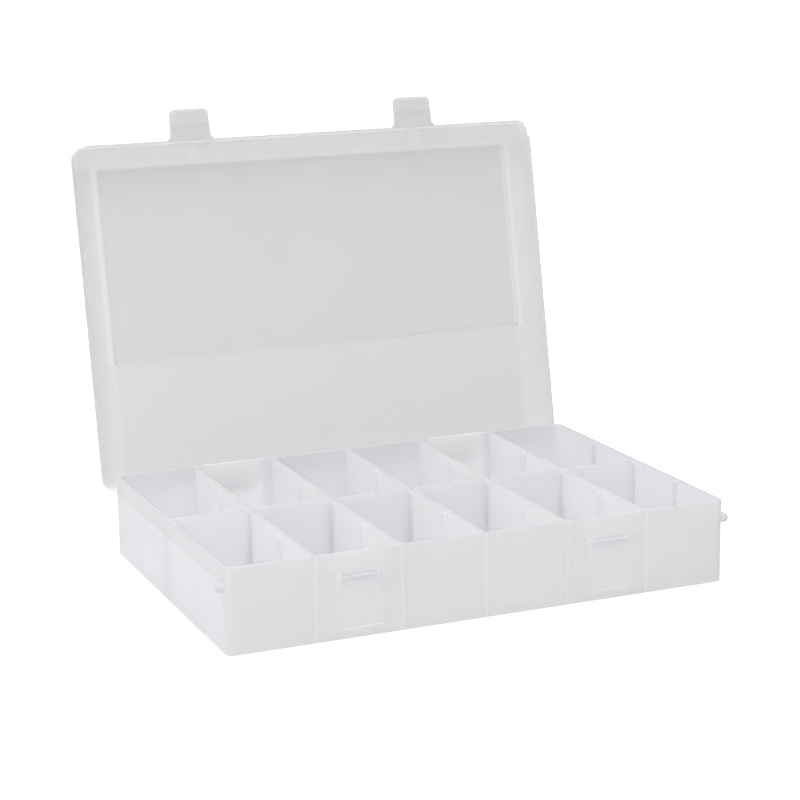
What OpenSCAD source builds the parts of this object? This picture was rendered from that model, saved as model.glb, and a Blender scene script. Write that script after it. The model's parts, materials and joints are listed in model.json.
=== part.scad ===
// Compartment box for embroidery thread: tray, hinged lid, two latches and removable cross dividers.
// The origin is the centre of the tray's underside. +X runs along the width, +Y to the hinge, +Z up.

/* [Tray] */
// Width of the tray over its rim band
tray_w = 270; // [240:1:300]
// Depth of the tray over its rim band, front to back
tray_d = 186; // [160:1:210]
// Height of the tray
tray_h = 43.5; // [40:0.5:60]
// Corner radius of the rim band, seen from above
corner_r = 4.5; // [3:0.5:12]
// Thickness of the outer walls
wall = 1.4; // [1:0.1:2]
// Thickness of the floor
floor_t = 1.2; // [1:0.1:2]
// Height of the rim band
band_h = 10; // [8:0.5:12]
// How far the rim band stands out from the wall below it
band_step = 0.2; // [0.1:0.1:0.8]
// Bevel round the underside
foot_bevel = 0.4; // [0.2:0.1:1.2]
// Bevel round the rim's top edge
rim_bevel = 0.4; // [0.2:0.1:0.6]

/* [Compartments] */
// Number of columns
columns = 6; // [4:1:8]
// Thickness of the long walls between columns
long_wall = 1.2; // [0.8:0.1:1.6]
// How far the long walls end below the rim
long_drop = 0.2; // [0.1:0.1:1]
// Slot places along each column
slot_places = 3; // [1:1:4]
// How far a slot rib stands out
rib_out = 1; // [0.8:0.1:1.4]
// Thickness of a slot rib
rib_t = 1; // [0.8:0.1:1.5]
// How far the slot ribs end below the rim
rib_drop = 2; // [1:0.5:4]
// Thickness of a cross divider
divider_t = 1.2; // [0.8:0.1:1.6]
// How far the dividers' tops lie below the rim
divider_drop = 0.5; // [0.4:0.1:5]
// Radius of a divider's corners
divider_r = 1.5; // [0.5:0.1:3]
// Clearance on each face of a divider in its slot
slot_gap = 0.2; // [0.1:0.05:0.4]
// Clearance at each end of a divider
end_gap = 0.3; // [0.2:0.05:0.6]
// Clearance under a divider
lift_gap = 0.05; // [0.02:0.01:0.3]

/* [Lid] */
// Thickness of the lid's plate
plate_t = 1.4; // [1:0.1:2]
// Thickness of the lid's skirt
skirt_t = 1; // [0.8:0.1:1.5]
// Depth of the skirt below the plate's top
skirt_depth = 11.5; // [9:0.5:12]
// Clearance between the skirt and the rim band
lid_gap = 0.8; // [0.6:0.05:1]
// How much rounder each face of the lid's corners is than the face inside it
corner_ease = 0.8; // [0:0.1:1]
// Bevel round the lid's top edge
edge_bevel = 0.8; // [0.4:0.1:1.2]
// Clearance between the rim's top and the plate
seat_gap = 0.3; // [0.2:0.05:0.6]
// Distance from the lid's front and side edges to the raised panel
panel_inset = 13; // [10:0.5:20]
// Length of the raised panel, front to back
panel_len = 107.5; // [80:0.5:130]
// Height of the raised panel's step
panel_step = 1; // [0.6:0.1:1.5]
// Corner radius of the raised panel
panel_r = 3; // [3:0.5:9]
// Thickness of the raised panel's sloping side, measured level
panel_side = 1; // [0.6:0.1:1.5]
// Angle that the lid is opened to
open_angle = 101; // [90:1:110]

/* [Side pegs] */
// Radius of a side peg's round head
peg_r = 2.6; // [2:0.1:3]
// Height of a side peg's centre
peg_z = 33.3; // [32:0.1:35]
// How far the head's centre lies outside the rim band
peg_out = 1; // [0.6:0.1:1.5]
// Distance from the tray's front to the head's first end
peg_start = 3.4; // [3.2:0.1:6]
// Length of the head between its round ends
peg_len = 1; // [0.5:0.1:3]
// Radius of the neck that carries the head
neck_r = 2; // [1.5:0.1:2.4]
// Clearance between a head and the notch in the skirt
peg_gap = 0.5; // [0.4:0.1:1]

/* [Latches] */
// Distance of each latch from the middle
latch_x = 67.5; // [50:0.5:80]
// Width of a latch near its root
latch_w = 23; // [18:0.5:28]
// Length of a latch from its hinge line to its tip
latch_len = 16.8; // [15:0.1:18]
// Thickness of a latch
latch_t = 1.5; // [1.2:0.1:2]
// How much narrower a latch is at its tip
latch_taper = 1; // [0:0.1:3]
// Corner radius at a latch's tip
latch_r = 3; // [1:0.5:5]
// Fillet radius at a latch's root
root_r = 1.5; // [0.5:0.1:2.5]
// Distance of a latch's hinge line in front of the lid
latch_out = 1.1; // [1:0.1:2]
// Gap between a latch's root and the lip that carries it
root_gap = 0.05; // [0.03:0.01:0.1]
// Thickness of the lip
lip_t = 1.1; // [0.8:0.1:1.2]
// Length of the thumb pad at a latch's tip
pad_len = 7.5; // [4:0.5:10]
// Thickness of the thumb pad
pad_t = 0.8; // [0.4:0.1:1.5]
// Width of a latch's tooth
tooth_w = 17; // [12:0.5:20]
// Height of a latch's tooth
tooth_h = 1.4; // [1:0.1:2]
// Clearance between the tooth and the catch bar above it
tooth_gap = 0.3; // [0.2:0.05:0.6]
// How far the tooth hooks under the catch bar
tooth_hook = 1.1; // [0.6:0.1:1.5]
// Clearance between the catch bar's face and the latched latch
bar_gap = 0.6; // [0.4:0.1:1]
// Height of the catch bar
bar_h = 2.2; // [1.5:0.1:3]
// Clearance between the tooth and the cheeks at the bar's ends
cheek_gap = 0.9; // [0.5:0.1:1.5]
// Thickness of a cheek
cheek_t = 1.6; // [1:0.1:2.5]
// How far the cheeks reach above the catch bar
cheek_rise = 1.5; // [1:0.1:1.8]
// How far the cheeks reach below the catch bar
cheek_drop = 4.2; // [2:0.1:6]
// How far the cheeks stand back from the bar's face
cheek_back = 0.6; // [0:0.1:1]
// Width of the recess behind a latch
recess_w = 26; // [22:0.5:32]
// Depth of the recess
recess_deep = 1.2; // [0.6:0.1:1.6]
// Height of the recess above the underside
recess_z = 5; // [3:0.5:12]
// Distance from the recess's top to the rim band
recess_drop = 1; // [0.6:0.1:2]
// Width of the flow rib between a latch and the panel
flow_w = 7.2; // [3:0.1:9]
// Height of the flow rib
flow_h = 0.5; // [0.3:0.1:0.9]

/* [Hinge] */
// Distance of each hinge from the middle
hinge_x = 67.5; // [40:0.5:100]
// Width between a hinge's ears
hinge_w = 20; // [14:0.5:30]
// Distance of the hinge line behind the tray's rim band
hinge_back = 3.6; // [3.2:0.1:5]
// Height of the hinge line
hinge_z = 30.1; // [26:0.1:31]
// Radius of the hinge pins
pin_r = 1.5; // [1:0.1:1.8]
// Running clearance round a hinge pin
pin_gap = 0.05; // [0.03:0.01:0.08]
// How far each lip of a knuckle's mouth hooks over the pin
snap_over = 0.3; // [0.1:0.05:0.5]
// Thickness of an ear
ear_t = 2; // [1.5:0.1:3]
// Wall of an ear round its pin
ear_wall = 1.1; // [0.8:0.1:1.4]
// Distance of an ear's foot below the hinge line
ear_foot = 7.8; // [6:0.2:12]
// Wall of a knuckle round its pin
knuckle_wall = 1.5; // [1.2:0.1:1.6]
// Clearance between a knuckle and each ear
side_gap = 0.3; // [0.2:0.05:0.6]
// Clearance of the knuckle's stop from the wall when the lid is open
stop_gap = 0.05; // [0.03:0.01:0.2]
// Height of the stop's flat
stop_h = 3; // [2:0.1:4]

/* [Hidden] */
$fn = 48;

clear_milk = [0.86, 0.87, 0.88, 0.85];
clear_lid = [0.84, 0.84, 0.85, 0.85];

// Tray
low_w = tray_w - 2 * band_step;
low_d = tray_d - 2 * band_step;
low_r = corner_r - band_step;
in_w = low_w - 2 * wall;
in_d = low_d - 2 * wall;
in_r = low_r - wall;
band_z = tray_h - band_h;
front_y = -tray_d / 2;
low_front_y = -low_d / 2;
pitch = (in_w + long_wall) / columns;
rib_top = tray_h - rib_drop;
neck_root = band_step + corner_in(corner_r, peg_start + peg_len / 2 - neck_r) + wall / 3;

// Cross dividers
middle_place = ceil(slot_places / 2);
slot_half = divider_t / 2 + slot_gap;
divider_w = pitch - long_wall - 2 * end_gap;
divider_z = floor_t + lift_gap;
divider_h = tray_h - divider_drop - divider_z;

// Lid, in its closed place
lid_out = lid_gap + skirt_t;
lid_w = tray_w + 2 * lid_out;
lid_d = tray_d + 2 * lid_out;
lid_in_r = corner_r + lid_gap + corner_ease;
lid_r = lid_in_r + skirt_t + corner_ease;
plate_z = tray_h + seat_gap;
lid_top = plate_z + plate_t;
skirt_z = lid_top - skirt_depth;
panel_w = lid_w - 2 * panel_inset;
lid_front_y = -lid_d / 2;
panel_y = lid_front_y + panel_inset + panel_len / 2;

// Latches
latch_y = lid_front_y - latch_out;
latch_z = lid_top - latch_t / 2;
bar_y = latch_y + latch_t / 2 + bar_gap;
tooth_z = latch_z - latch_len;
bar_z = tooth_z + tooth_h + tooth_gap;
tooth_out = bar_gap + tooth_hook;
cheek_in = tooth_w / 2 + cheek_gap;
recess_y = low_front_y + recess_deep;
recess_top = band_z - recess_drop;

// Hinge
hinge_y = tray_d / 2 + hinge_back;
wall_y = low_d / 2;
ear_r = pin_r + ear_wall;
bore_r = pin_r + pin_gap;
knuckle_r = bore_r + knuckle_wall;
knuckle_w = hinge_w - 2 * side_gap;
mouth = 2 * (pin_r - snap_over);
stop_y = hinge_back + band_step - stop_gap;

// Right-hand side of a profile of height h, bevelled by low at its foot and by high at its top
function side(x, h, low, high) = concat(
    low > 0 ? [[x - low, 0], [x, low]] : [[x, 0]],
    high > 0 ? [[x, h - high], [x - high, h]] : [[x, h]]);

// How far a corner of radius r, at the distance y from its end, lies inside its side
function corner_in(r, y) = y < r ? r - sqrt(r * r - (r - y) * (r - y)) : 0;

function both_sides(p) = concat(p, [for (i = [len(p) - 1 : -1 : 0]) [-p[i][0], p[i][1]]]);

// Rectangle with round corners, centred
module round_rect(w, h, r) {
    square([w - 2 * r, h], center = true);
    square([w, h - 2 * r], center = true);
    for (sx = [-1, 1], sy = [-1, 1]) translate([sx * (w / 2 - r), sy * (h / 2 - r)]) circle(r);
}

// Block with round corners r that stands on z = 0, bevelled round its foot and its top
module block(w, d, r, h, low = 0, high = 0) {
    for (sx = [-1, 1], sy = [-1, 1]) translate([sx * (w / 2 - r), sy * (d / 2 - r), 0])
        rotate_extrude() polygon(concat([[0, 0]], side(r, h, low, high), [[0, h]]));
    translate([-w / 2 + r, 0, 0]) rotate([90, 0, 90]) linear_extrude(w - 2 * r)
        polygon(both_sides(side(d / 2, h, low, high)));
    translate([0, d / 2 - r, 0]) rotate([90, 0, 0]) linear_extrude(d - 2 * r)
        polygon(both_sides(side(w / 2, h, low, high)));
}

// Peg that stands out of a side wall, s = -1 on the left and 1 on the right
module side_peg(s) {
    translate([s * (tray_w / 2 + peg_out), 0, 0]) {
        rotate([-90, 0, 0]) cylinder(h = peg_len, r = peg_r);
        sphere(peg_r);
        translate([0, peg_len, 0]) sphere(peg_r);
    }
    translate([s * (tray_w / 2 - neck_root), peg_len / 2, 0]) rotate([0, s * 90, 0])
        cylinder(h = neck_root + peg_out, r = neck_r);
}

// Draws a latch or hinge place on both sides of the middle
module pair_x(x) {
    for (s = [-1, 1]) translate([s * x, 0, 0]) children();
}

module tray_body() {
    block(low_w, low_d, low_r, band_z + band_h / 2, foot_bevel);
    translate([0, 0, band_z]) block(tray_w, tray_d, corner_r, band_h, band_step, rim_bevel);
    for (s = [-1, 1]) translate([0, front_y + peg_start, peg_z]) side_peg(s);
}

// Place along Y of a row of slots, counted from the front
function slot_y(place) = -in_d / 2 + place * in_d / (slot_places + 1);

// Long walls and slot ribs, seen from above
module long_walls() {
    for (i = [1 : columns - 1])
        translate([-in_w / 2 + i * pitch - long_wall, -in_d / 2 - wall / 2])
            square([long_wall, in_d + wall]);
}

module slot_ribs() {
    root = long_wall / 3;
    for (i = [0 : columns - 1], j = [1 : slot_places], s = [-1, 1])
        translate([-in_w / 2 + i * pitch, slot_y(j) + s * (slot_half + rib_t / 2) - rib_t / 2]) {
            translate([-root, 0]) square([rib_out + root, rib_t]);
            translate([pitch - long_wall - rib_out, 0]) square([rib_out + root, rib_t]);
        }
}

// Pocket in the front wall behind a latch, and the wall that goes round it
module recess_wall() {
    translate([-recess_w / 2 - wall, low_front_y + wall / 2, floor_t / 2])
        cube([recess_w + 2 * wall, recess_deep + wall / 2, recess_top + wall - floor_t / 2]);
}

module recess_pocket() {
    translate([-recess_w / 2, low_front_y - wall, recess_z])
        cube([recess_w, recess_deep + wall, recess_top - recess_z]);
}

// Catch bar with its two cheeks, rooted in the recess
module catch_bar() {
    root_y = recess_y + wall / 2;
    bar_half = cheek_in + cheek_t / 2;
    translate([-bar_half, bar_y, bar_z]) cube([2 * bar_half, root_y - bar_y, bar_h]);
    for (s = [-1, 1])
        translate([s * bar_half - cheek_t / 2, bar_y + cheek_back, bar_z - cheek_drop])
            cube([cheek_t, root_y - bar_y - cheek_back, cheek_drop + bar_h + cheek_rise]);
}

// Ear beside a hinge pin, rooted in the back wall
module ear() {
    rotate([90, 0, 90]) linear_extrude(ear_t) {
        translate([hinge_y, hinge_z]) circle(ear_r);
        polygon([[wall_y - wall / 2, hinge_z + ear_r], [hinge_y, hinge_z + ear_r],
                 [hinge_y, hinge_z], [hinge_y + ear_r * sin(45), hinge_z - ear_r * cos(45)],
                 [wall_y, hinge_z - ear_foot], [wall_y - wall / 2, hinge_z - ear_foot]]);
    }
}

module hinge_station() {
    translate([-hinge_w / 2 - ear_t, 0, 0]) ear();
    translate([hinge_w / 2, 0, 0]) ear();
    translate([-hinge_w / 2 - ear_t / 2, hinge_y, hinge_z]) rotate([0, 90, 0])
        cylinder(h = hinge_w + ear_t, r = pin_r);
}

module tray() {
    color(clear_milk) {
        difference() {
            union() {
                difference() {
                    tray_body();
                    translate([0, 0, floor_t]) block(in_w, in_d, in_r, tray_h);
                }
                translate([0, 0, floor_t / 2]) {
                    linear_extrude(tray_h - long_drop - floor_t / 2) long_walls();
                    linear_extrude(rib_top - floor_t / 2) slot_ribs();
                }
                pair_x(latch_x) recess_wall();
            }
            pair_x(latch_x) recess_pocket();
        }
        pair_x(latch_x) catch_bar();
        pair_x(hinge_x) hinge_station();
    }
}

// Dividers fill the middle slots of all columns first, and then the row behind
module divider(i) {
    column = (i - 1) % columns;
    place = middle_place + floor((i - 1) / columns);
    x = -in_w / 2 + column * pitch + (pitch - long_wall) / 2;
    color(clear_milk)
        translate([x, slot_y(place) + divider_t / 2, divider_z + divider_h / 2]) rotate([90, 0, 0])
            linear_extrude(divider_t) round_rect(divider_w, divider_h, divider_r);
}

// Knuckle that snaps over a hinge pin, in the closed place
module knuckle() {
    translate([-knuckle_w / 2, hinge_y, hinge_z]) difference() {
        rotate([90, 0, 90]) linear_extrude(knuckle_w) {
            circle(knuckle_r);
            arm_y = lid_d / 2 - hinge_y;
            arm_z = skirt_z - hinge_z;
            polygon([[arm_y - skirt_t, arm_z + skirt_t], [arm_y, arm_z + skirt_t],
                     [knuckle_r * sin(20), knuckle_r * cos(20)], [0, 0],
                     [-knuckle_r * cos(15), knuckle_r * sin(15)], [arm_y - skirt_t, arm_z - skirt_t]]);
            rotate(open_angle)
                polygon([[-stop_y, 0], [-stop_y, -stop_h], [-bore_r, -stop_h], [-bore_r, 0]]);
        }
        translate([-knuckle_w / 2, 0, 0]) rotate([0, 90, 0]) cylinder(h = 2 * knuckle_w, r = bore_r);
        translate([-knuckle_w / 2, 0, -mouth / 2]) cube([2 * knuckle_w, 2 * knuckle_r, mouth]);
    }
}

// Lip in front of the plate that carries a latch's root
module latch_lip() {
    half = latch_w / 2 + root_r;
    translate([-half, lid_front_y - latch_out + latch_t / 2 + root_gap, latch_z - lip_t / 2])
        cube([2 * half, latch_out - latch_t / 2 - root_gap + skirt_t / 2, lip_t]);
}

module flow_rib() {
    translate([-flow_w / 2, lid_front_y + edge_bevel, lid_top - plate_t / 2])
        cube([flow_w, panel_inset, flow_h + plate_t / 2]);
}

// Notch that clears the side pegs, through both side skirts
module peg_notch() {
    reach = peg_r + peg_gap;
    translate([-lid_w, front_y + peg_start - reach, skirt_z - skirt_t])
        cube([2 * lid_w, peg_len + 2 * reach, peg_z + reach - skirt_z + skirt_t]);
}

module closed_lid() {
    difference() {
        union() {
            translate([0, 0, skirt_z]) block(lid_w, lid_d, lid_r, skirt_depth, 0, edge_bevel);
            translate([0, panel_y, lid_top - plate_t / 2])
                block(panel_w, panel_len, panel_r, plate_t / 2 + panel_step, 0, panel_step);
        }
        translate([0, 0, skirt_z - skirt_t])
            block(lid_w - 2 * skirt_t, lid_d - 2 * skirt_t, lid_in_r, plate_z - skirt_z + skirt_t);
        translate([0, panel_y, plate_z - plate_t / 2])
            block(panel_w - 2 * panel_side, panel_len - 2 * panel_side, panel_r - panel_side,
                  plate_t / 2 + panel_step, 0, panel_step);
        peg_notch();
    }
    pair_x(latch_x) {
        latch_lip();
        flow_rib();
    }
    pair_x(hinge_x) knuckle();
}

// Turns what is drawn in the closed place to the open one
module opened() {
    translate([0, hinge_y, hinge_z]) rotate([-open_angle, 0, 0]) translate([0, -hinge_y, -hinge_z])
        children();
}

module lid() {
    color(clear_lid) opened() closed_lid();
}

// Outline of a latch from its hinge line, lengthways along +Y
module latch_outline() {
    half = latch_w / 2;
    tip = half - latch_taper / 2;
    difference() {
        union() {
            polygon([[-half - root_r, 0], [half + root_r, 0], [half + root_r, latch_t / 2],
                     [half, latch_t / 2 + root_r], [tip, latch_len - latch_r], [-tip, latch_len - latch_r],
                     [-half, latch_t / 2 + root_r], [-half - root_r, latch_t / 2]]);
            translate([-tip + latch_r, 0]) square([2 * (tip - latch_r), latch_len]);
            for (s = [-1, 1]) translate([s * (tip - latch_r), latch_len - latch_r]) circle(latch_r);
        }
        for (s = [-1, 1]) translate([s * (half + root_r), latch_t / 2 + root_r]) circle(root_r);
    }
}

module latch(x) {
    translate([x, latch_y, latch_z]) {
        translate([-latch_w / 2 - root_r, 0, 0]) rotate([0, 90, 0])
            cylinder(h = latch_w + 2 * root_r, r = latch_t / 2);
        mirror([0, 1, 0]) {
            translate([0, 0, -latch_t / 2]) linear_extrude(latch_t) latch_outline();
            intersection() {
                linear_extrude(latch_t / 2 + 2 * pad_t) latch_outline();
                rotate([90, 0, 90]) translate([0, 0, -latch_w / 2]) linear_extrude(latch_w)
                    polygon([[latch_len - pad_len, latch_t / 4], [2 * latch_len, latch_t / 4],
                             [2 * latch_len, latch_t / 2 + pad_t],
                             [latch_len - pad_len + pad_t, latch_t / 2 + pad_t],
                             [latch_len - pad_len, latch_t / 2]]);
            }
            rotate([90, 0, 90]) translate([0, 0, -tooth_w / 2]) linear_extrude(tooth_w)
                polygon([[latch_len - tooth_h, -latch_t / 4], [latch_len, -latch_t / 4],
                         [latch_len, -latch_t / 2 - tooth_out / 3],
                         [latch_len - tooth_h / 2, -latch_t / 2 - tooth_out],
                         [latch_len - tooth_h, -latch_t / 2 - tooth_out]]);
        }
    }
}

module left_latch() {
    color(clear_lid) opened() latch(-latch_x);
}

module right_latch() {
    color(clear_lid) opened() latch(latch_x);
}

module divider_1() { divider(1); }
module divider_2() { divider(2); }
module divider_3() { divider(3); }
module divider_4() { divider(4); }
module divider_5() { divider(5); }
module divider_6() { divider(6); }

tray();
lid();
left_latch();
right_latch();
divider_1();
divider_2();
divider_3();
divider_4();
divider_5();
divider_6();
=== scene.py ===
import json
import math
import bpy
from mathutils import Matrix, Vector

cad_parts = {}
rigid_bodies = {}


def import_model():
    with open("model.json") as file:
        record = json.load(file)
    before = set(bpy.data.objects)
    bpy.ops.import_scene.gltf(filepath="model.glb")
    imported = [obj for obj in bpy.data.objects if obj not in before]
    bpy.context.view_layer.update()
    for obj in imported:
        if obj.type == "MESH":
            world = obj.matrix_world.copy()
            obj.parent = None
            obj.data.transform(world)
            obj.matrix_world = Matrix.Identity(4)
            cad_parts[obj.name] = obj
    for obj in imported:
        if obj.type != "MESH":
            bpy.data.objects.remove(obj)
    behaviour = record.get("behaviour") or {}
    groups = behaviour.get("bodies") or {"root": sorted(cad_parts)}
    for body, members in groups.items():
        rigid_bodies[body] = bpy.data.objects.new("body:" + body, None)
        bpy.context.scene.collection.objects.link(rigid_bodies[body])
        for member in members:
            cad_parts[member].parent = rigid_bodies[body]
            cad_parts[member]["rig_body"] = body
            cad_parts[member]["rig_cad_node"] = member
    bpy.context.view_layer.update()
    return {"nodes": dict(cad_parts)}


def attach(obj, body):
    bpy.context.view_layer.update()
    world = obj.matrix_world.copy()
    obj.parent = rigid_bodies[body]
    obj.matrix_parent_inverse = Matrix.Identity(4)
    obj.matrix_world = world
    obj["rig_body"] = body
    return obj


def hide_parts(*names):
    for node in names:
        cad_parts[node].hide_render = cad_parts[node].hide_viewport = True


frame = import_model()
print("stage: frame loaded, nodes", len(frame["nodes"]))

mm = 0.001
white = (1, 1, 1, 1)
mixFactor, mixFirst, mixSecond, mixResult = 0, 6, 7, 2  # sockets of a Mix node that mixes colours


def toLinear(hexColour):
    channels = [int(hexColour[i:i + 2], 16) / 255 for i in (1, 3, 5)]
    # The sRGB curve
    return [c / 12.92 if c <= 0.04045 else ((c + 0.055) / 1.055) ** 2.4 for c in channels] + [1.0]


def addNode(tree, kind, settings=None, inputs=None):
    node = tree.nodes.new(kind)
    for name, value in (settings or {}).items():
        setattr(node, name, value)
    for name, value in (inputs or {}).items():
        socket = node.inputs[name]
        if isinstance(value, bpy.types.NodeSocket):
            tree.links.new(value, socket)
        else:
            socket.default_value = value
    return node


def newMaterial(name):
    material = bpy.data.materials.new(name)
    material.use_nodes = True
    material.node_tree.nodes.clear()
    return material, material.node_tree


def deselectAll():
    if bpy.context.mode != "OBJECT":
        bpy.ops.object.mode_set(mode="OBJECT")
    bpy.ops.object.select_all(action="DESELECT")


# Camera at the photograph's place: metres in the part's frame, degrees for its turn, mm for its lens
cameraSpec = {"place": (-0.4356, -1.0212, 0.350), "yaw": 22.84, "pitch": 13.14, "roll": -0.87,
              "lens": 98.33, "sensor": 36.0, "near": 0.05, "far": 60}


def makeCamera(spec):
    yaw, pitch, roll = (math.radians(spec[k]) for k in ("yaw", "pitch", "roll"))
    forward = Vector((math.sin(yaw) * math.cos(pitch), math.cos(yaw) * math.cos(pitch), -math.sin(pitch)))
    right = Vector((math.cos(yaw), -math.sin(yaw), 0))
    up = right.cross(forward)
    sideAxis = right * math.cos(roll) + up * math.sin(roll)
    upAxis = up * math.cos(roll) - right * math.sin(roll)
    turn = Matrix((sideAxis, upAxis, -forward)).transposed().to_4x4()
    data = bpy.data.cameras.new("camera")
    data.lens = spec["lens"]
    data.sensor_width = spec["sensor"]
    data.clip_start = spec["near"]
    data.clip_end = spec["far"]
    camera = bpy.data.objects.new("camera", data)
    bpy.context.scene.collection.objects.link(camera)
    camera.matrix_world = Matrix.Translation(spec["place"]) @ turn
    bpy.context.scene.camera = camera


makeCamera(cameraSpec)
print("stage: camera made")


# Natural polypropylene, injection moulded. It is milky: light goes in, scatters and comes out on the far
# side, so walls look pale and almost without shade, and a soft satin skin lies over them. A part's own
# dictionary adds to this one and changes what differs. Sizes are in mm
plasticSpec = {
    "base": "#FCFCFD", "rough": 0.34, "ior": 1.49,
    "clear": 0.15, "through": 0.5,  # shares of the light seen through it clearly, and let through scattered
    "mottleSize": 30.0, "mottleDetail": 3.0, "mottleRough": 0.55,  # faint clouds in the plastic
    "mottleLow": 0.3, "mottleHigh": 0.7, "mottleTone": 0.99, "roughSpread": 0.04,
    "grainSize": 0.6, "grainDetail": 2.0, "grainDepth": 0.02, "bump": 0.3,
    "grainWindows": [], "grainElsewhere": 0.2,  # share of the grain's depth outside its windows
    "turn": 0.0, "pivot": (0.0, 0.0, 0.0),  # degrees about X, to the closed box's frame
    "columnPitch": 44.667, "latchStation": 67.5}

# Tray: smooth tool. Each layer is a tone and its windows, and the tone is laid where all of them are open.
# A window is a measure, where it is shut and where it is open. The measures are X, Y, Z, absX and absY,
# fromWall (from the nearest long wall's middle) and fromStation (sideways from the nearest latch's middle)
traySpec = {"layers": {
    "sideFaces": ("#F9F9FA", [("absX", 133.6, 133.7)]),
    "endFaces": ("#F7F7F8", [("absY", 91.5, 91.55)]),
    "underside": ("#F2F2F3", [("Z", 0.6, 0.4)]),
    # Painted shade: the left wall's outer face a little darker, where the key lamp falls on it
    "leftFacePaintedShade": ("#F6F6F8", [("X", -133.6, -133.7)]),
    "rimBand": ("#EFEFF1", [("absX", 133.6, 133.7), ("Z", 34.2, 34.8)]),
    "floors": ("#EFEFF1", [("Z", 2.6, 2.1), ("Z", 0.8, 1.0), ("absX", 133.2, 133.0), ("absY", 90.8, 90.6)]),
    # Painted light: the front and rear walls are laid paler where the long walls' ends back them, for the
    # light that the long walls carry there
    "wallEndsPaintedLight": ("#FFFFFF", [("fromWall", 1.1, 0.5), ("absY", 91.5, 91.55), ("absX", 111.0, 110.0)]),
    # Painted shade: the right wall a little darker on both faces, where the light from the left falls on
    # its inside
    "rightWallPaintedShade": ("#F2F2F4", [("X", 131.4, 131.6)]),
    # Painted shade: the pegs darker, so that they don't catch the light as bright balls
    "pegs": ("#EBEBED", [("absX", 135.2, 135.4)]),
    # Painted shade: the tops of the walls greyer, where the top lamp falls strongly on them
    "wallTopsPaintedShade": ("#E6E6E8", [("Z", 42.9, 43.2)]),  # a little greyer than the walls' faces
    # Painted shade: the inside of the rear wall darker, where the light from the front and top falls on it
    "rearInsidePaintedShade": ("#F3F3F5", [("Y", 90.0, 90.5), ("Y", 91.6, 91.5)]),
    # Painted shade: the catch a trace darker round its bar, and the bar darker still, for the shade on the
    # bar and under it
    "catch": ("#F5F5F7", [("fromStation", 9.6, 9.3), ("Y", -90.4, -90.6), ("Z", 25.0, 25.4),
                          ("Z", 33.2, 32.8)]),
    "catchBarPaintedShade": ("#EEEEF0", [("fromStation", 9.5, 9.3), ("Y", -91.3, -91.5), ("Z", 29.2, 29.4),
                             ("Z", 31.7, 31.5)]),
    # Inside of the wall behind each latch, and of the rear wall in line with it: painted light, white laid
    # over the shade in the recesses
    "recessPaintedLight": ("#FFFFFF", [("fromStation", 13.4, 12.8), ("absY", 90.0, 90.1), ("absY", 91.55, 91.5),
                                 ("Z", 4.0, 4.6)]),
    # Painted light: the rear wall beside each hinge paler, against the shadow that the hinge's ears throw
    # on it
    "byHingePaintedLight": ("#FBFBFC", [("fromStation", 19.0, 15.0), ("Y", 88.0, 90.0)])}}

# Dividers: the same plastic in loose strips, a trace clearer as they are thinner than the outer walls
# Painted shade: the dividers' top edge greyer, where the top lamp falls strongly on it
dividerSpec = {"clear": 0.2, "rough": 0.32, "layers": {"topEdgePaintedShade": ("#F2F2F4", [("Z", 42.4, 42.7)])}}

# Lid: the same plastic a little greyer, its panel in a stippled tool finish, the border smoother. The
# windows are in the closed lid's frame. The flow bars are thicker, so paler, and a pale line runs round
# the panel
panelWindows = [("absX", 123.8, 123.2), ("Y", -81.8, -81.2), ("Y", 25.7, 25.1)]
lidSpec = {
    "base": "#E9E9E9", "clear": 0.4, "through": 0.45, "grainSize": 0.7, "grainDepth": 0.03,
    "grainWindows": panelWindows, "turn": 101.0, "pivot": (0.0, 96.6, 30.1),
    "layers": {
        # Painted light: the borders beside the panel paler, against the shade of the skirt over them
        "sideBordersPaintedLight": ("#EDEDED", [("absX", 122.0, 123.0)]),
        "panel": ("#E8E8E8", panelWindows),
        # Painted light: the border in front of the panel paler, against the shade of the skirt over it
        "frontBorderPaintedLight": ("#F0F0F0", [("Y", -81.8, -82.3)]),
        "sideLines": ("#F3F3F3", [("absX", 123.8, 124.2), ("absX", 126.8, 126.2), ("Y", -84.8, -84.2),
                                  ("Y", 25.7, 24.7)]),
        "frontLine": ("#F3F3F3", [("absX", 126.8, 126.2), ("Y", -81.8, -82.2), ("Y", -84.8, -84.2)]),
        "flowBars": ("#F3F3F3", [("fromStation", 3.8, 3.3), ("Y", -82.0, -83.0)]),
        "frontSkirt": ("#E2E2E2", [("Y", -94.0, -94.4)]),
        "latches": ("#E7E7E7", [("Y", -95.4, -96.0)]),
        "latchBands": ("#E4E4E4", [("Y", -100.6, -101.4), ("Y", -105.2, -104.6)]),
        "thumbPads": ("#EAEAEA", [("Y", -105.0, -105.4)]),
        "panelFarEnd": ("#D8D8D8", [("absX", 123.8, 123.2), ("Y", 23.5, 23.8), ("Y", 24.9, 24.6)]),
        # Painted light: the hinge side paler, so that the shadow the hinge throws through the tray's rear
        # wall is fainter
        "hingeSidePaintedLight": ("#FAFAFA", [("Y", 91.0, 93.0)])}}


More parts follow.
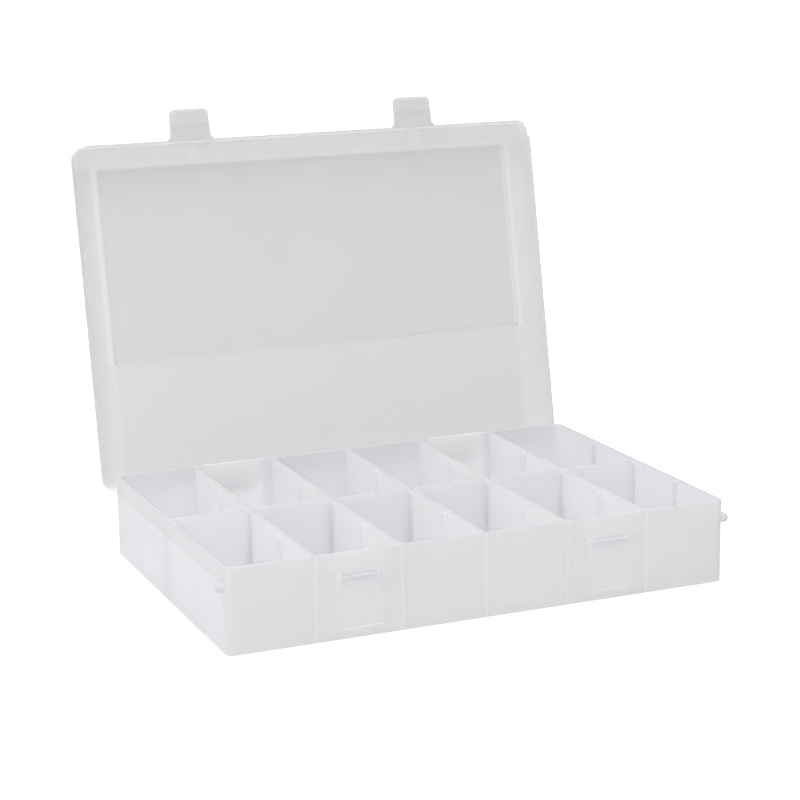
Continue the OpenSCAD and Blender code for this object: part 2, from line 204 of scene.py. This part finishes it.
def measurePlace(tree, place, spec):
    turn = Matrix.Rotation(math.radians(spec["turn"]), 3, "X")
    pivot = Vector(spec["pivot"])
    inMm = addNode(tree, "ShaderNodeMapping", {"vector_type": "POINT"},
                   {"Vector": place, "Scale": (1 / mm,) * 3, "Location": pivot - turn @ pivot,
                    "Rotation": (math.radians(spec["turn"]), 0, 0)})
    split = addNode(tree, "ShaderNodeSeparateXYZ", {}, {"Vector": inMm.outputs["Vector"]}).outputs
    measures = {axis: split[axis] for axis in ("X", "Y", "Z")}
    for axis in ("X", "Y"):
        measures["abs" + axis] = addNode(tree, "ShaderNodeMath", {"operation": "ABSOLUTE"},
                                         {0: measures[axis]}).outputs[0]
    measures["fromWall"] = addNode(tree, "ShaderNodeMath", {"operation": "PINGPONG"},
                                   {0: measures["absX"], 1: spec["columnPitch"] / 2}).outputs[0]
    beside = addNode(tree, "ShaderNodeMath", {"operation": "SUBTRACT"},
                     {0: measures["absX"], 1: spec["latchStation"]}).outputs[0]
    measures["fromStation"] = addNode(tree, "ShaderNodeMath", {"operation": "ABSOLUTE"},
                                      {0: beside}).outputs[0]
    return measures


def openWindows(tree, measures, windows):
    together = 1.0
    for measure, shut, opened in windows:
        step = addNode(tree, "ShaderNodeMapRange", {},
                       {"Value": measures[measure], "From Min": shut, "From Max": opened}).outputs["Result"]
        together = addNode(tree, "ShaderNodeMath", {"operation": "MULTIPLY"},
                           {0: together, 1: step}).outputs[0]
    return together


def makePlastic(name, part):
    spec = {**plasticSpec, **part}
    material, tree = newMaterial(name)
    place = addNode(tree, "ShaderNodeTexCoord").outputs["Object"]
    measures = measurePlace(tree, place, spec)
    tone = toLinear(spec["base"])
    for colour, windows in spec["layers"].values():
        tone = addNode(tree, "ShaderNodeMix", {"data_type": "RGBA"},
                       {mixFactor: openWindows(tree, measures, windows), mixFirst: tone,
                        mixSecond: toLinear(colour)}).outputs[mixResult]
    # The mottle moves both the tone and the gloss a little
    mottle = addNode(tree, "ShaderNodeTexNoise", {},
                     {"Vector": place, "Scale": 1 / (spec["mottleSize"] * mm),
                      "Detail": spec["mottleDetail"], "Roughness": spec["mottleRough"]}).outputs["Fac"]
    fromMottle = {"Value": mottle, "From Min": spec["mottleLow"], "From Max": spec["mottleHigh"]}
    shade = addNode(tree, "ShaderNodeMapRange", {},
                    {**fromMottle, "To Min": spec["mottleTone"], "To Max": 1.0}).outputs["Result"]
    colour = addNode(tree, "ShaderNodeMix", {"data_type": "RGBA", "blend_type": "MULTIPLY"},
                     {mixFactor: 1.0, mixFirst: tone, mixSecond: shade}).outputs[mixResult]
    # The grain stands at its full depth only in its windows
    grain = addNode(tree, "ShaderNodeTexNoise", {},
                    {"Vector": place, "Scale": 1 / (spec["grainSize"] * mm),
                     "Detail": spec["grainDetail"]}).outputs["Fac"]
    share = addNode(tree, "ShaderNodeMapRange", {},
                    {"Value": openWindows(tree, measures, spec["grainWindows"]),
                     "To Min": spec["grainElsewhere"]}).outputs["Result"]
    height = addNode(tree, "ShaderNodeMath", {"operation": "MULTIPLY"}, {0: grain, 1: share}).outputs[0]
    normal = addNode(tree, "ShaderNodeBump", {}, {"Height": height, "Strength": spec["bump"],
                     "Distance": spec["grainDepth"] * mm}).outputs["Normal"]
    gloss = addNode(tree, "ShaderNodeMapRange", {},
                    {**fromMottle, "To Min": spec["rough"] - spec["roughSpread"],
                     "To Max": spec["rough"] + spec["roughSpread"]}).outputs["Result"]
    # Satin skin over the milky inside, which lets light through
    skin = addNode(tree, "ShaderNodeBsdfPrincipled", {},
                   {"Base Color": colour, "Roughness": gloss, "Normal": normal, "IOR": spec["ior"],
                    "Transmission Weight": spec["clear"]})
    milk = addNode(tree, "ShaderNodeBsdfTranslucent", {}, {"Color": colour, "Normal": normal})
    both = addNode(tree, "ShaderNodeMixShader", {},
                   {"Fac": spec["through"], 1: skin.outputs[0], 2: milk.outputs[0]})
    addNode(tree, "ShaderNodeOutputMaterial", {}, {"Surface": both.outputs[0]})
    return material


plastics = {"tray_polypropylene": makePlastic("tray_polypropylene", traySpec),
            "divider_polypropylene": makePlastic("divider_polypropylene", dividerSpec),
            "lid_polypropylene": makePlastic("lid_polypropylene", lidSpec)}
print("stage: materials made")

# Moulded edges: each moulding's copy gets the small round that its tool leaves. Sizes in mm, angles in
# degrees: faces within flatAngle are merged, those within smoothAngle are shaded as one round, and edges
# past roundAngle are rounded
edgeSpec = {"weld": 0.002, "flatAngle": 1, "smoothAngle": 32, "roundAngle": 30.0, "round": 0.15,
            "segments": 2}

# Plastic of each moulding. The others are the dividers
slots = {"tray": "tray_polypropylene", "lid": "lid_polypropylene", "left_latch": "lid_polypropylene",
         "right_latch": "lid_polypropylene"}


def softenEdges(name, spec):
    deselectAll()
    node = frame["nodes"][name]
    node.select_set(True)
    bpy.context.view_layer.objects.active = node
    bpy.ops.object.duplicate()
    piece = bpy.context.object
    piece.name = name + "_moulding"
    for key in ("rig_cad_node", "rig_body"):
        if key in piece:
            del piece[key]
    bpy.ops.object.parent_clear(type="CLEAR_KEEP_TRANSFORM")
    bpy.ops.object.mode_set(mode="EDIT")
    bpy.ops.mesh.select_all(action="SELECT")
    bpy.ops.mesh.remove_doubles(threshold=spec["weld"] * mm)
    bpy.ops.mesh.dissolve_limited(angle_limit=math.radians(spec["flatAngle"]), delimit={"NORMAL"})
    bpy.ops.object.mode_set(mode="OBJECT")
    bpy.ops.object.shade_smooth_by_angle(angle=math.radians(spec["smoothAngle"]))
    bevel = piece.modifiers.new("edge", "BEVEL")
    bevel.width = spec["round"] * mm
    bevel.segments = spec["segments"]
    bevel.limit_method = "ANGLE"
    bevel.angle_limit = math.radians(spec["roundAngle"])
    bevel.harden_normals = True
    bpy.ops.object.modifier_apply(modifier="edge")
    print("stage:", piece.name, "faces", len(piece.data.polygons))
    return piece


for name, node in frame["nodes"].items():
    slot = slots.get(name, "divider_polypropylene")
    node.data.materials.clear()
    node.data.materials.append(plastics[slot])
    piece = softenEdges(name, edgeSpec)
    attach(piece, name)
    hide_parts(name)


# Plain studio. The world lights the box more from the left than from the right, and the floor is pale
# paint. The camera, reflections and what is seen through the plastic get plain white in their place
worldSpec = {"leftLevel": 0.45, "rightLevel": 0.265}
floorSpec = {"size": 40.0, "paint": "#CCCCCC", "lift": 0.85}


def whiteSeen(tree):
    path = addNode(tree, "ShaderNodeLightPath").outputs
    seen = path["Is Camera Ray"]
    for ray in ("Is Glossy Ray", "Is Transmission Ray"):
        seen = addNode(tree, "ShaderNodeMath", {"operation": "MAXIMUM"}, {0: seen, 1: path[ray]}).outputs[0]
    return seen


def makeWorld(spec):
    world = bpy.data.worlds.new("studio")
    bpy.context.scene.world = world
    world.use_nodes = True
    tree = world.node_tree
    tree.nodes.clear()
    way = addNode(tree, "ShaderNodeTexCoord").outputs["Generated"]
    aside = addNode(tree, "ShaderNodeSeparateXYZ", {}, {"Vector": way}).outputs["X"]
    level = addNode(tree, "ShaderNodeMapRange", {},
                    {"Value": aside, "From Min": -1.0, "From Max": 1.0, "To Min": spec["leftLevel"],
                     "To Max": spec["rightLevel"]}).outputs["Result"]
    lightPart = addNode(tree, "ShaderNodeBackground", {}, {"Color": white, "Strength": level})
    whitePart = addNode(tree, "ShaderNodeBackground", {}, {"Color": white, "Strength": 1.0})
    mixed = addNode(tree, "ShaderNodeMixShader", {},
                    {"Fac": whiteSeen(tree), 1: lightPart.outputs[0], 2: whitePart.outputs[0]})
    addNode(tree, "ShaderNodeOutputWorld", {}, {"Surface": mixed.outputs[0]})


def makeFloor(spec):
    material, tree = newMaterial("floor_paint")
    lift = addNode(tree, "ShaderNodeMath", {"operation": "MULTIPLY"},
                   {0: whiteSeen(tree), 1: spec["lift"]}).outputs[0]
    matt = addNode(tree, "ShaderNodeBsdfDiffuse", {}, {"Color": toLinear(spec["paint"])})
    glow = addNode(tree, "ShaderNodeEmission", {}, {"Color": white, "Strength": lift})
    both = addNode(tree, "ShaderNodeAddShader", {}, {0: matt.outputs[0], 1: glow.outputs[0]})
    addNode(tree, "ShaderNodeOutputMaterial", {}, {"Surface": both.outputs[0]})
    deselectAll()
    bpy.ops.mesh.primitive_plane_add(size=spec["size"], location=(0, 0, 0))
    floor = bpy.context.object
    floor.name = "floor"
    floor.data.materials.append(material)


# Lamps: round soft ones, at the front left and overhead. Metres and watts
lampSpecs = [
    {"name": "key_lamp", "place": (-1.3, -1.2, 0.9), "aim": (0, 0, 0.05), "size": 1.2, "power": 7.5},
    {"name": "top_lamp", "place": (0.0, -0.1, 1.8), "aim": (0, 0, 0), "size": 1.4, "power": 24.5}]


def addLamp(spec):
    data = bpy.data.lights.new(spec["name"], "AREA")
    data.shape = "DISK"
    data.size = spec["size"]
    data.energy = spec["power"]
    lamp = bpy.data.objects.new(spec["name"], data)
    bpy.context.scene.collection.objects.link(lamp)
    lamp.location = spec["place"]
    lamp.rotation_mode = "QUATERNION"
    lamp.rotation_quaternion = (Vector(spec["aim"]) - Vector(spec["place"])).to_track_quat("-Z", "Y")


makeWorld(worldSpec)
makeFloor(floorSpec)
for lampSpec in lampSpecs:
    addLamp(lampSpec)
bpy.context.scene.view_settings.view_transform = "Standard"
print("stage: floor and lamps made")
